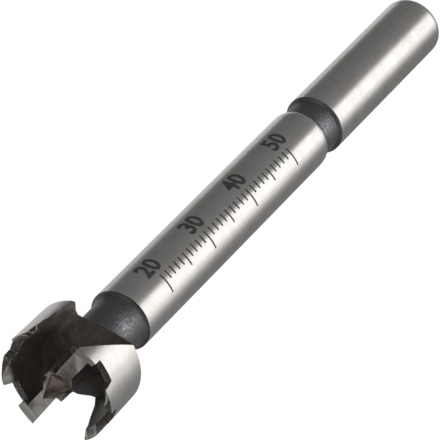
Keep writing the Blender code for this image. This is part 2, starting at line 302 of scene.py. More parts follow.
def cutting_frame(sizes):
    """The matrix from the cutting frame to the world. Its axis comes from the shank's mount, its
    origin from the tip of the centre point, and its turn from the corners of the cutting edges,
    which are the points farthest from the axis in the plane z = 0."""
    points = mesh_points(frame["nodes"][NODE].data)
    axis = -np.array(shank_mount()["axis"], float)
    axis /= np.linalg.norm(axis)
    tip = points[(points @ axis).argmax()]
    origin = tip - axis * sizes.point_height
    out = points - origin
    depth = -(out @ axis)
    across = out + np.outer(depth, axis)
    radius = np.linalg.norm(across, axis=1)
    level = np.abs(depth) < CORNER_SLACK
    corner = across[level][radius[level].argmax()]
    side = math.sqrt(corner @ corner - sizes.corner_offset**2)
    square = np.cross(corner, axis)
    y_axis = corner * side + square * sizes.corner_offset
    y_axis /= np.linalg.norm(y_axis)
    if y_axis[0] < 0:
        y_axis = -y_axis
    x_axis = np.cross(y_axis, axis)
    matrix = Matrix.Identity(4)
    for i in range(3):
        matrix[i][0], matrix[i][1], matrix[i][2] = x_axis[i], y_axis[i], axis[i]
        matrix[i][3] = origin[i]
    return matrix


def merged_copy(name):
    """A copy of the CAD node whose loose triangles share their corners."""
    mesh = frame["nodes"][NODE].data.copy()
    bm = bmesh.new()
    bm.from_mesh(mesh)
    bmesh.ops.remove_doubles(bm, verts=bm.verts, dist=MERGE_DISTANCE)
    bmesh.ops.dissolve_degenerate(bm, edges=bm.edges, dist=SHORTEST_EDGE)
    bm.to_mesh(mesh)
    bm.free()
    mesh.name = name
    mesh.materials.clear()
    return add_object(name, mesh)


class FaceFacts:
    """The mesh's faces in the cutting frame: where they are and which way they face. Outward, round
    and forward are the shares of a face's normal away from the axis, about it and along it."""

    def __init__(self, mesh, matrix):
        count = len(mesh.polygons)
        centres = np.empty(count * 3)
        normals = np.empty(count * 3)
        self.areas = np.empty(count)
        mesh.polygons.foreach_get("center", centres)
        mesh.polygons.foreach_get("normal", normals)
        mesh.polygons.foreach_get("area", self.areas)
        inverse = np.array(matrix.inverted())
        self.centres = centres.reshape(-1, 3) @ inverse[:3, :3].T + inverse[:3, 3]
        self.normals = normals.reshape(-1, 3) @ inverse[:3, :3].T
        self.points = mesh_points(mesh) @ inverse[:3, :3].T + inverse[:3, 3]
        self.radius = np.hypot(self.centres[:, 0], self.centres[:, 1])
        self.depth = -self.centres[:, 2]
        radial = self.centres[:, :2] / np.maximum(self.radius, TINY_LENGTH)[:, None]
        self.outward = (radial * self.normals[:, :2]).sum(axis=1)
        self.round = radial[:, 1] * self.normals[:, 0] - radial[:, 0] * self.normals[:, 1]
        self.forward = self.normals[:, 2]


def even_bar_ends(mesh, matrix, sizes):
    """Gives the outer end of each bar its straight edge and even twist. Behind the edge, the top falls
    by a share of the distance from it, and that share goes from the heel's to the corner's over
    corner_length. The CAD part's flat facets dip by up to a fifth of a millimetre there."""
    facts = FaceFacts(mesh, matrix)
    points = facts.points
    on_top = np.zeros(len(points), bool)
    on_edge = np.zeros(len(points), bool)
    facing = -facts.normals[:, 0] * np.sign(facts.centres[:, 1])
    for polygon, forward, ahead in zip(mesh.polygons, facts.forward, facing):
        if forward > TOP_FORWARD:
            on_top[list(polygon.vertices)] = True
        if ahead > FRONT_AHEAD:
            on_edge[list(polygon.vertices)] = True
    side = np.where(points[:, 1] < 0, -1.0, 1.0)
    across = points[:, 0] * side
    along = points[:, 1] * side
    end = sizes.head_diameter / 2 - TWIST_INSET
    start = end - sizes.corner_length
    heel = sizes.bar_width - sizes.edge_offset
    twisted = on_top & (along > start) & (np.abs(points[:, 2]) < TOP_DEPTH)
    twisted &= (across > -sizes.edge_offset - EDGE_MARGIN) & (across < heel + HEEL_MARGIN)
    share = np.clip((along - start) / (end - start), 0.0, 1.0)
    edge = twisted & on_edge
    across[edge] = -(sizes.corner_offset - EDGE_LEAN * (1 - share[edge]))
    points[edge, 0] = (across * side)[edge]
    fall = (sizes.heel_drop * (1 - share) + sizes.corner_drop * share) / sizes.bar_width
    points[twisted, 2] = -(fall * (across + sizes.edge_offset))[twisted]
    place_points(mesh, matrix, points)
    mesh.update()


def finish_numbers(facts, sizes):
    """Which finish each face has. The blackened faces are those that no wheel has ground."""
    head_radius = sizes.head_diameter / 2
    shank_radius = sizes.shank_diameter / 2
    numbers = np.full(len(facts.areas), OXIDE)
    head = facts.depth < sizes.head_height - BACK_STRIP
    shank = (facts.depth > sizes.shank_start) & (facts.outward > SHANK_OUTWARD)
    numbers[shank & (facts.radius > shank_radius * SHANK_SKIN_SHARE)] = SHANK
    numbers[facts.depth > facts.depth.max() - SHANK_TIP] = SHANK
    outside = facts.radius > head_radius - LAND_SKIN
    numbers[head & outside & (facts.outward > LAND_OUTWARD)] = LAND
    top = (facts.forward > BAR_FORWARD) & (facts.depth < BAR_DEPTH)
    numbers[head & top & (np.abs(facts.centres[:, 0]) < BAR_REACH)] = BAR
    sloping = (facts.forward > POINT_FORWARD) & (facts.forward < BAR_FORWARD)
    numbers[sloping & (facts.depth < POINT_DEPTH) & (facts.radius < POINT_REACH)] = POINT
    bevel = (facts.outward < TOOTH_OUTWARD) & (facts.forward > TOOTH_FORWARD)
    rim = facts.radius > head_radius - TOOTH_WIDTH
    numbers[bevel & rim & (facts.depth < TOOTH_DEPTH)] = TOOTH
    return numbers


def relief_slope(angle, sizes):
    """How fast the relief of the outer land grows with the angle behind a cutting corner. The relief
    is land_relief * s * (2 - s), where s is the angle as a share of the relief's span."""
    behind = (angle + 2 * sizes.corner_offset / sizes.head_diameter) % math.pi
    share = behind / sizes.relief_span
    slope = sizes.land_relief * 2 * (1 - share) / sizes.relief_span
    return np.where(share < 1.0, slope, 0.0)


def corner_normals(mesh, matrix, facts, numbers, sizes):
    """A normal for each face corner. On a lathe-turned face it is the face's own slope along the axis,
    evened out with its neighbours', turned to the corner's angle about the axis. On an outer land it
    is the normal of the relieved cylinder. Elsewhere it is the mesh's own smooth normal."""
    face_of, vertex_of = corner_owners(mesh)
    normals = np.empty(len(mesh.loops) * 3, np.float32)
    mesh.corner_normals.foreach_get("vector", normals)
    normals = normals.reshape(-1, 3).astype(float)
    points = facts.points[vertex_of]
    radius = np.maximum(np.hypot(points[:, 0], points[:, 1]), TINY_LENGTH)
    radial = points[:, :2] / radius[:, None]
    tangent = np.stack([radial[:, 1], -radial[:, 0]], axis=1)

    behind = facts.depth > sizes.head_height - TURNED_MARGIN
    turned = behind & (np.abs(facts.round) < TURNED_ROUND)
    slopes = np.stack([facts.outward, facts.forward], axis=1)
    slopes /= np.maximum(np.linalg.norm(slopes, axis=1), TINY_LENGTH)[:, None]
    weights = np.where(turned, facts.areas, 0.0)[face_of]
    mean = np.zeros((len(mesh.vertices), 2))
    np.add.at(mean, vertex_of, slopes[face_of] * weights[:, None])
    mean /= np.maximum(np.linalg.norm(mean, axis=1), TINY_SUM)[:, None]
    close = (mean[vertex_of] * slopes[face_of]).sum(axis=1) > math.cos(EVENED_ANGLE)
    slope = np.where(close[:, None], mean[vertex_of], slopes[face_of])
    on_lathe = np.concatenate([radial * slope[:, :1], slope[:, 1:]], axis=1)

    angles = np.arctan2(points[:, 0], points[:, 1])
    lean = LEAN_SHOWN * relief_slope(angles, sizes) / radius
    on_land = np.concatenate([radial + tangent * lean[:, None], np.zeros((len(points), 1))], axis=1)
    on_land /= np.linalg.norm(on_land, axis=1)[:, None]
    true_face = (on_land * facts.normals[face_of]).sum(axis=1) > math.cos(LAND_ANGLE)

    turn = np.array(matrix)[:3, :3].T
    lathe = turned[face_of] & (radius > AXIS_GAP)
    land = (numbers[face_of] == LAND) & true_face
    normals[lathe] = (on_lathe @ turn)[lathe]
    normals[land] = (on_land @ turn)[land]
    return normals


def store_place(mesh, points):
    """Stores each point's place in the cutting frame, in millimetres, for the finishes."""
    place = mesh.attributes.new(PLACE, "FLOAT_VECTOR", "POINT")
    place.data.foreach_set("vector", (points / MM).astype(np.float32).ravel())


def store_ridges(mesh):
    """Stores for each point whether its sharp edges stand out (1) or lie in a corner (0)."""
    bm = bmesh.new()
    bm.from_mesh(mesh)
    ridge = np.zeros(len(mesh.vertices), np.float32)
    for edge in bm.edges:
        if len(edge.link_faces) != 2 or edge.calc_face_angle() < WORN_ANGLE:
            continue
        if edge.calc_face_angle_signed() > 0:
            for vert in edge.verts:
                ridge[vert.index] = 1.0
    bm.free()
    mesh.attributes.new(RIDGE, "FLOAT", "POINT").data.foreach_set("value", ridge)


def set_uv_map(mesh, facts):
    """Unrolls the mesh about the bit's axis: u is the angle as a share of a full turn, kept whole
    within each face, and v is the depth in units of UV_DEPTH."""
    layer = mesh.uv_layers.new(name="unrolled")
    face_of, vertex_of = corner_owners(mesh)
    points = facts.points[vertex_of]
    centres = facts.centres[face_of]
    middle = np.arctan2(centres[:, 0], centres[:, 1])
    angle = np.arctan2(points[:, 0], points[:, 1]) - middle
    angle = (angle + math.pi) % math.tau - math.pi + middle
    values = np.stack([angle / math.tau, -points[:, 2] / UV_DEPTH], axis=1)
    layer.data.foreach_set("uv", values.astype(np.float32).ravel())


def add_node(tree, kind, **settings):
    """A new node of a kind, with its settings."""
    node = tree.nodes.new("ShaderNode" + kind)
    for name, value in settings.items():
        setattr(node, name, value)
    return node


def feed(tree, socket, source):
    """Links a source to an input socket, or sets the socket to a constant."""
    if isinstance(source, bpy.types.NodeSocket):
        tree.links.new(source, socket)
    else:
        socket.default_value = source


def maths(tree, operation, first, second=0.0, clamp=False):
    """The result of an operation on two numbers, kept between 0 and 1 if it is clamped."""
    node = add_node(tree, "Math", operation=operation, use_clamp=clamp)
    feed(tree, node.inputs[0], first)
    feed(tree, node.inputs[1], second)
    return node.outputs[0]


def vector_maths(tree, operation, *vectors, output="Vector"):
    """The result of an operation on one or two vectors. A length or distance is its "Value"."""
    node = add_node(tree, "VectorMath", operation=operation)
    for socket, vector in zip(node.inputs, vectors):
        feed(tree, socket, vector)
    return node.outputs[output]


def parts_of(tree, vector):
    """A vector's X, Y and Z."""
    node = add_node(tree, "SeparateXYZ")
    feed(tree, node.inputs[0], vector)
    return node.outputs


def ramp(tree, value, low, high, to_low=0.0, to_high=1.0):
    """A value brought smoothly from one range to another, and kept inside it."""
    node = add_node(tree, "MapRange", interpolation_type="SMOOTHSTEP")
    feed(tree, node.inputs["Value"], value)
    for name, number in zip(
        ("From Min", "From Max", "To Min", "To Max"), (low, high, to_low, to_high)
    ):
        feed(tree, node.inputs[name], number)
    return node.outputs["Result"]


def mix_colours(tree, share, first, second):
    """The first colour where the share is 0, the second where it is 1, and a mix between."""
    node = add_node(tree, "Mix", data_type="RGBA")
    feed(tree, node.inputs["Factor"], share)
    feed(tree, node.inputs["A"], first)
    feed(tree, node.inputs["B"], second)
    return node.outputs["Result"]


def noise(tree, place, scale, detail=2.0, roughness=0.5):
    """Noise between 0 and 1 over a place that is first scaled by a vector."""
    scaled = vector_maths(tree, "MULTIPLY", place, scale)
    node = add_node(tree, "TexNoise", noise_dimensions="3D")
    settings = {"Vector": scaled, "Scale": 1.0, "Detail": detail, "Roughness": roughness}
    for name, source in settings.items():
        feed(tree, node.inputs[name], source)
    return node.outputs["Fac"]


SOCKETS = {"value": "NodeSocketFloat", "vector": "NodeSocketVector"}


def new_group(name, inputs, outputs):
    """A shader node group with named sockets. Inputs are (name, kind, default) and outputs
    (name, kind). It gives the group, its input node and its output node."""
    tree = bpy.data.node_groups.new(name, "ShaderNodeTree")
    for label, kind, default in inputs:
        socket = tree.interface.new_socket(name=label, in_out="INPUT", socket_type=SOCKETS[kind])
        socket.default_value = default
    for label, kind in outputs:
        tree.interface.new_socket(name=label, in_out="OUTPUT", socket_type=SOCKETS[kind])
    return tree, tree.nodes.new("NodeGroupInput"), tree.nodes.new("NodeGroupOutput")


def group_of(name, build):
    """The node group of this name, built the first time it is asked for."""
    return bpy.data.node_groups.get(name) or build(name)


def use_group(tree, group, **inputs):
    """Places a group in a material with its own values. Underscores stand for spaces."""
    node = add_node(tree, "Group", node_tree=group)
    for name, source in inputs.items():
        feed(tree, node.inputs[name.replace("_", " ")], source)
    return node.outputs


def build_grind(name):
    """Marks that a grinding wheel leaves. Place times Stretch is high across the lines and low along
    them. Height is for a bump. Tone is the slow change in brightness from one pass to the next."""
    tree, given, result = new_group(
        name,
        [
            ("Place", "vector", (0.0, 0.0, 0.0)),
            ("Stretch", "vector", (1.0, 1.0, 1.0)),
            ("Coarseness", "value", 0.2),
        ],
        [("Height", "value"), ("Tone", "value")],
    )
    fine = noise(tree, given.outputs["Place"], given.outputs["Stretch"], 4.0, 0.65)
    slower = add_node(tree, "VectorMath", operation="SCALE")
    feed(tree, slower.inputs[0], given.outputs["Stretch"])
    feed(tree, slower.inputs["Scale"], given.outputs["Coarseness"])
    passes = noise(tree, given.outputs["Place"], slower.outputs[0], 3.0, 0.6)
    feed(tree, result.inputs["Height"], fine)
    feed(tree, result.inputs["Tone"], ramp(tree, passes, 0.3, 0.7))
    return tree


def build_edge_wear(name):
    """Rubbed edges. Normal is the surface's normal, as if rounded by Radius where an edge is near.
    Mask is 1 on an edge that stands out and 0 away from it; the finishes lighten it as wear and as a
    painted highlight. Breaks parts the mask into pieces: at 0 nearly the whole edge stays, and at 1
    little of it."""
    tree, given, result = new_group(
        name,
        [
            ("Place", "vector", (0.0, 0.0, 0.0)),
            ("Radius", "value", 0.06 * MM),
            ("Breaks", "value", 0.3),
        ],
        [("Normal", "vector"), ("Mask", "value")],
    )
    bevel = add_node(tree, "Bevel", samples=4)
    feed(tree, bevel.inputs["Radius"], given.outputs["Radius"])
    soft = bevel.outputs["Normal"]
    true = add_node(tree, "NewGeometry").outputs["Normal"]
    likeness = vector_maths(tree, "DOT_PRODUCT", soft, true, output="Value")
    turned = ramp(tree, likeness, 0.997, 0.93)
    ridge = add_node(tree, "Attribute", attribute_name=RIDGE)
    patchy = noise(tree, given.outputs["Place"], (3.0, 3.0, 3.0), 3.0, 0.6)
    breaks = maths(tree, "ADD", 0.2, maths(tree, "MULTIPLY", given.outputs["Breaks"], 0.4))
    kept = ramp(tree, patchy, breaks, maths(tree, "ADD", breaks, 0.1))
    whole = maths(tree, "MULTIPLY", turned, ridge.outputs["Fac"])
    # Of a Mix node's sockets, input 0 is the factor, 4 and 5 are the vectors, and output 1 their mix
    rounded = add_node(tree, "Mix", data_type="VECTOR")
    for number, source in ((0, turned), (4, true), (5, soft)):
        feed(tree, rounded.inputs[number], source)
    feed(tree, result.inputs["Normal"], rounded.outputs[1])
    feed(tree, result.inputs["Mask"], maths(tree, "MULTIPLY", whole, kept, True))
    return tree


def build_mottle(name):
    """Uneven patches, such as stains, at a Size in millimetres: Tone is between 0 and 1."""
    tree, given, result = new_group(
        name,
        [("Place", "vector", (0.0, 0.0, 0.0)), ("Size", "value", 1.0)],
        [("Tone", "value")],
    )
    scale = maths(tree, "DIVIDE", 1.0, given.outputs["Size"])
    even = add_node(tree, "CombineXYZ")
    for axis in "XYZ":
        feed(tree, even.inputs[axis], scale)
    tone = noise(tree, given.outputs["Place"], even.outputs[0], 5.0, 0.6)
    feed(tree, result.inputs["Tone"], ramp(tree, tone, 0.3, 0.7))
    return tree


class Finish:
    """A new material with the nodes that every finish of the bit starts from."""

    def __init__(self, name):
        self.material = bpy.data.materials.new(name)
        self.material.use_nodes = True
        self.tree = self.material.node_tree
        self.shader = self.tree.nodes["Principled BSDF"]
        self.place = add_node(self.tree, "Attribute", attribute_name=PLACE).outputs["Vector"]

    def grind(self, stretch, coarseness):
        """Grinding or milling marks: their Height and Tone."""
        group = group_of("grind_marks", build_grind)
        return use_group(self.tree, group, Place=self.place, Stretch=stretch, Coarseness=coarseness)

    def edges(self, radius, breaks):
        """Rubbed edges, lightened partly as a painted highlight: their Normal and Mask."""
        group = group_of("edge_wear_and_highlight", build_edge_wear)
        return use_group(self.tree, group, Place=self.place, Radius=radius, Breaks=breaks)

    def mottle(self, size):
        """Uneven patches of a size in millimetres: their Tone."""
        return use_group(self.tree, group_of("mottle", build_mottle), Place=self.place, Size=size)

    def bump(self, height, strength, distance, normal):
        """Gives the surface a bump of a height from 0 to 1, on top of the normal that it has."""
        node = add_node(self.tree, "Bump")
        settings = {"Strength": strength, "Distance": distance, "Height": height, "Normal": normal}
        for name, source in settings.items():
            feed(self.tree, node.inputs[name], source)
        self.set("Normal", node.outputs["Normal"])

    def set(self, name, source):
        """Links a source to one of the shader's sockets, or sets the socket to a constant."""
        feed(self.tree, self.shader.inputs[name], source)


def shaded(colour, share=1.0):
    """A colour made darker or lighter by a share, with its alpha."""
    return (*[min(c * share, 1.0) for c in colour], 1.0)


# Tint of the stains on ground steel, and where the painted shade on the lands' starts comes in, from
# nothing to all, in millimetres from the axis along the bars
STAIN_TINT = (0.84, 0.77, 0.69)
SHADED_LAND_START_MM = (6.9, 7.35)


def ground_steel(name, colour, stretch, roughness, anisotropy, bump, stain):
    """Ground steel: lines from the wheel in its bump, its brightness and its roughness, a fine grain,
    faint warm stains, edges that handling has rubbed brighter, partly as a painted highlight, and
    painted shade on the starts of the lands, at the cutting corners."""
    finish = Finish(name)
    tree = finish.tree
    lines = finish.grind(stretch, 0.12)
    stains = finish.mottle(2.2)
    edges = finish.edges(0.07 * MM, 0.2)
    clean = mix_colours(tree, lines["Tone"], shaded(colour, 0.975), shaded(colour, 1.015))
    warm = shaded([part * tint for part, tint in zip(colour, STAIN_TINT)])
    stained = mix_colours(tree, maths(tree, "MULTIPLY", stains["Tone"], stain), clean, warm)
    # Painted shade: the lands' starts at the cutting corners are darkened, broken up by the grain
    aside = maths(tree, "ABSOLUTE", parts_of(tree, finish.place)["Y"])
    start = ramp(tree, aside, *SHADED_LAND_START_MM)
    grain = noise(tree, finish.place, (6.0, 6.0, 6.0), 3.0, 0.6)
    uneven = ramp(tree, grain, 0.35, 0.65, 0.4, 0.7)
    land_start_shaded = mix_colours(tree, maths(tree, "MULTIPLY", start, uneven), stained, shaded(colour, 0.4))
    speckled = mix_colours(tree, ramp(tree, grain, 0.3, 0.7, 0.0, 0.16), land_start_shaded, shaded(colour, 0.5))
    # Lighter rubbed edges: partly wear, partly a painted highlight along them
    finish.set("Base Color", mix_colours(tree, edges["Mask"], speckled, shaded(colour, 1.25)))
    finish.set("Metallic", 1.0)
    finish.set("Anisotropic", anisotropy)
    rough = ramp(tree, lines["Tone"], 0.0, 1.0, roughness + 0.012, roughness - 0.012)
    finish.set("Roughness", rough)
    finish.bump(lines["Height"], bump, 0.003 * MM, edges["Normal"])
    return finish.material


def tempered_steel(name, steel, brown, centre_mm, rim_mm, stretch, roughness):
    """Ground steel that grinding heat has browned near the bit's axis. The brown is full inside
    centre_mm and gone beyond rim_mm, with a ragged border between."""
    finish = Finish(name)
    tree = finish.tree
    lines = finish.grind(stretch, 0.3)
    stains = finish.mottle(0.9)
    edges = finish.edges(0.06 * MM, 0.2)
    across = vector_maths(tree, "MULTIPLY", finish.place, (1.0, 1.0, 0.0))
    radius = vector_maths(tree, "LENGTH", across, output="Value")
    ragged = maths(tree, "ADD", radius, maths(tree, "MULTIPLY", stains["Tone"], 1.2))
    heat = ramp(tree, ragged, rim_mm + 0.6, centre_mm + 0.6)
    clean = mix_colours(tree, lines["Tone"], shaded(steel, 0.8), shaded(steel, 1.16))
    burnt = mix_colours(tree, stains["Tone"], shaded(brown, 0.7), shaded(brown, 1.5))
    both = mix_colours(tree, heat, clean, burnt)
    # Lighter rubbed edges: partly wear, partly a painted highlight along them
    finish.set("Base Color", mix_colours(tree, edges["Mask"], both, shaded(steel, 1.4)))
    finish.set("Metallic", 1.0)
    finish.set("Roughness", ramp(tree, stains["Tone"], 0.0, 1.0, roughness - 0.05, roughness + 0.06))
    finish.bump(lines["Height"], 0.5, 0.006 * MM, edges["Normal"])
    return finish.material


# Middles of the rubbed patches on the neck and in the groove, whose bright grains also stand in as a
# painted highlight, and how far from them the handling has reached, from nothing to all, in
# millimetres in the cutting frame
HANDLED_HIGHLIGHT_MM = ((0.9, 3.3, -11.3), (1.3, 3.4, -58.6))
HANDLED_HIGHLIGHT_REACH_MM = (3.4, 0.4)

# Z between which the milled head's finish gives way to the turned neck's, in the same millimetres
NECK_START_MM = (-6.9, -7.6)


def black_oxide(name, colour, sparkle, steel):
    """Black oxide over milled steel: a dull dark skin with patches, pits, streaks from the cutter and
    a few light specks. On the turned neck and in the groove it is greyer and shinier, with bright
    grains in two patches where handling has rubbed it, which also stand in as a painted highlight.
    The worn edges are bare steel, made lighter partly as a painted highlight along them."""
    finish = Finish(name)
    tree = finish.tree
    milled = finish.grind((2.2, 2.2, 0.5), 0.35)
    patches = finish.mottle(1.3)
    edges = finish.edges(0.16 * MM, 0.55)
    body = mix_colours(tree, patches["Tone"], shaded(colour, 0.8), shaded(colour, 1.15))
    streaks = maths(tree, "MULTIPLY", milled["Tone"], 0.5)
    streaked = mix_colours(tree, streaks, body, shaded(colour, 1.8))
    grain = noise(tree, finish.place, (7.5, 7.5, 4.0), 2.0, 0.6)
    specks = ramp(tree, grain, 0.64, 0.72, 0.0, 0.4)
    distances = [
        vector_maths(tree, "DISTANCE", finish.place, middle, output="Value") for middle in HANDLED_HIGHLIGHT_MM
    ]
    # Rubbed patches on the neck and in the groove: real grain, and a painted highlight where they lie
    handled_and_highlight = ramp(tree, maths(tree, "MINIMUM", *distances), *HANDLED_HIGHLIGHT_REACH_MM)
    threshold = ramp(tree, handled_and_highlight, 0.0, 1.0, 0.6, 0.47)
    hairs = ramp(tree, grain, threshold, maths(tree, "ADD", threshold, 0.1))
    grains = maths(tree, "ADD", specks, maths(tree, "MULTIPLY", hairs, handled_and_highlight), True)
    pitted = mix_colours(tree, ramp(tree, grain, 0.5, 0.3), streaked, shaded(colour, 0.5))
    turned = ramp(tree, parts_of(tree, finish.place)["Z"], *NECK_START_MM)
    grey = shaded([sum(colour) / 3] * 3, 0.75)
    greyed = mix_colours(tree, maths(tree, "MULTIPLY", turned, 0.8), pitted, grey)
    sparkling = mix_colours(tree, grains, greyed, shaded(sparkle))
    # Bare steel on worn edges: partly wear, partly a painted highlight along them
    finish.set("Base Color", mix_colours(tree, edges["Mask"], sparkling, shaded(steel, 0.8)))
    finish.set("Metallic", maths(tree, "MAXIMUM", edges["Mask"], grains))
    finish.set("Roughness", ramp(tree, patches["Tone"], 0.0, 1.0, 0.36, 0.46))
    finish.set("Specular IOR Level", ramp(tree, turned, 0.0, 1.0, 0.3, 0.9))
    finish.bump(grain, 0.6, 0.03 * MM, edges["Normal"])
    return finish.material


def marking(name, colour):
    """The dull, slightly patchy dark of the depth scale."""
    finish = Finish(name)
    patches = finish.mottle(0.35)
    tone = mix_colours(finish.tree, patches["Tone"], shaded(colour, 0.8), shaded(colour, 1.5))
    finish.set("Base Color", tone)
    finish.set("Metallic", 0.0)
    finish.set("Roughness", ramp(finish.tree, patches["Tone"], 0.0, 1.0, 0.45, 0.6))
    return finish.material


class FORSTNER_OT_bit(bpy.types.Operator):
    """Dress the bit in its ground and blackened finishes"""

    bl_idname = "forstner.bit"
    bl_label = "Forstner bit"

    def execute(self, context):
        sizes = context.scene.bit_sizes
        colours = context.scene.bit_finishes
        steel, bar, brown = tuple(colours.steel), tuple(colours.bar_steel), tuple(colours.temper)
        # Painted light: the teeth's bevels get the bar steel made lighter, to lift them out of the
        # throats' shade
        tooth = shaded(bar, 1.4)[:3]
        matrix = cutting_frame(sizes)
        piece = merged_copy("dressed_bit")
        mesh = piece.data
        finishes = (
            black_oxide("black_oxide", tuple(colours.oxide), tuple(colours.sparkle), steel),
            ground_steel(
                "ground_shank", steel, stretch=(0.12, 0.12, 7.0),
                roughness=0.26, anisotropy=0.4, bump=0.15, stain=0.45,
            ),
            ground_steel(
                "ground_land", steel, stretch=(0.2, 0.2, 6.0),
                roughness=0.26, anisotropy=0.3, bump=0.25, stain=0.5,
            ),
            tempered_steel(
                "ground_bar", bar, brown,
                centre_mm=1.2, rim_mm=3.2, stretch=(0.5, 7.0, 0.5), roughness=0.36,
            ),
            tempered_steel(
                "ground_point", bar, brown,
                centre_mm=2.0, rim_mm=2.6, stretch=(1.5, 1.5, 8.0), roughness=0.38,
            ),
            tempered_steel(
                "ground_tooth", tooth, tooth,
                centre_mm=1.0, rim_mm=2.0, stretch=(3.0, 3.0, 0.6), roughness=0.4,
            ),
        )
        for material in finishes:
            mesh.materials.append(material)
        even_bar_ends(mesh, matrix, sizes)
        facts = FaceFacts(mesh, matrix)
        numbers = finish_numbers(facts, sizes)
        mesh.polygons.foreach_set("material_index", numbers.astype(np.int32))
        mesh.shade_smooth()
        mesh.set_sharp_from_angle(angle=SHARP_ANGLE)
        mesh.normals_split_custom_set(
            [tuple(normal) for normal in corner_normals(mesh, matrix, facts, numbers, sizes)]
        )
        store_place(mesh, facts.points)
        store_ridges(mesh)
        set_uv_map(mesh, facts)
        mesh.update()
        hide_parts(NODE)
        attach(piece, BODY)
        return {"FINISHED"}


# How far the ticks reach from the base line, by the last figure of their depth, and the gap under the
# numbers
TICK_REACH = {0: 2.6 * MM, 5: 1.9 * MM}
SHORT_TICK_REACH = 1.2 * MM
NUMBER_GAP = 0.5 * MM

# Width of the strips in which the scale is bent round the shank, how close to a cut a point counts as
# lying on it, and the scale's height over the steel
STRIP_WIDTH = 0.15 * MM
CUT_SLACK = 0.0001 * MM
SCALE_LIFT = 0.006 * MM

# How much the strokes of the numbers are thickened, as a share of the font's size
STROKE_GAIN = 0.03


def text_mesh(words, height):
    """The flat mesh of a text, standing on y = 0 and scaled so that a digit has this height."""
    curve = bpy.data.curves.new("digits", "FONT")
    curve.body = words
    curve.align_x = "CENTER"
    curve.resolution_u = 3
    curve.offset = STROKE_GAIN
    holder = add_object("digits", curve)
    bpy.context.view_layer.update()
    graph = bpy.context.evaluated_depsgraph_get()
    mesh = bpy.data.meshes.new_from_object(holder.evaluated_get(graph))
    bpy.data.objects.remove(holder)
    bpy.data.curves.remove(curve)
    points = mesh_points(mesh)
    low, high = points[:, 1].min(), points[:, 1].max()
    points = (points - (0.0, low, 0.0)) * height / (high - low)
    mesh.vertices.foreach_set("co", points.astype(np.float32).ravel())
    return mesh


def cut_in_strips(bm, step):
    """Cuts a flat mesh along lines of constant y, a step apart, so that it can be bent about x."""
    heights = [vert.co.y for vert in bm.verts]
    for number in range(math.ceil(min(heights) / step), math.floor(max(heights) / step) + 1):
        bmesh.ops.bisect_plane(
            bm,
            geom=bm.verts[:] + bm.edges[:] + bm.faces[:],
            dist=CUT_SLACK,
            plane_co=(0.0, number * step, 0.0),
            plane_no=(0.0, 1.0, 0.0),
        )


def scale_flat(sizes):
    """The depth scale, laid flat: x is the depth and y runs round the shank from the base line, with
    the numbers above the line and the ticks below it."""
    bm = bmesh.new()
    for depth in range(sizes.first, sizes.last + 1):
        middle = depth * MM
        reach = TICK_REACH.get(depth % 10, SHORT_TICK_REACH)
        half = sizes.tick_width / 2
        corners = ((-half, -reach), (half, -reach), (half, 0.0), (-half, 0.0))
        bm.faces.new([bm.verts.new((middle + x, y, 0.0)) for x, y in corners])
        if depth % 10 == 0:
            mesh = text_mesh(str(depth), sizes.digit_height)
            mesh.transform(Matrix.Translation((middle, NUMBER_GAP, 0.0)))
            bm.from_mesh(mesh)
            bpy.data.meshes.remove(mesh)
    cut_in_strips(bm, STRIP_WIDTH)
    return bm


class FORSTNER_OT_scale(bpy.types.Operator):
    """Mark the depth scale on the shank"""

    bl_idname = "forstner.scale"
    bl_label = "Depth scale"

    def execute(self, context):
        bit = context.scene.bit_sizes
        sizes = context.scene.bit_scale
        radius = bit.shank_diameter / 2 + SCALE_LIFT
        bm = scale_flat(sizes)
        mesh = bpy.data.meshes.new("depth_scale")
        bm.to_mesh(mesh)
        bm.free()
        flat = mesh_points(mesh)
        # Bent about the axis: y becomes a turn back from the base line's angle, and x the depth
        angle = sizes.ground_angle - flat[:, 1] / radius
        bent = np.stack([np.sin(angle) * radius, np.cos(angle) * radius, -flat[:, 0]], axis=1)
        place_points(mesh, cutting_frame(bit), bent)
        store_place(mesh, bent)
        mesh.attributes.new(RIDGE, "FLOAT", "POINT")
        mesh.materials.append(marking("marking", tuple(context.scene.bit_finishes.marking)))
        mesh.update()
        piece = add_object("depth_scale", mesh)
        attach(piece, BODY)
        return {"FINISHED"}


# The table as the metal mirrors it, along the world's x in metres: at full sheen on the side away from
# the key lamp, falling to a share of it beside the bit, and rising again by a share of it farther out
SHADE_FALL, SHADE_SHARE = (-0.006, 0.004), 0.35
FAR_RISE, FAR_SHARE = (0.006, 0.045), 1.3

# The table as the camera sees it: how bright it glows, and how much of what is seen is that glow. The
# rest is the lamps' light with the bit's shadow.
CAMERA_GLOW = 1.03
GLOW_SHARE = 0.985


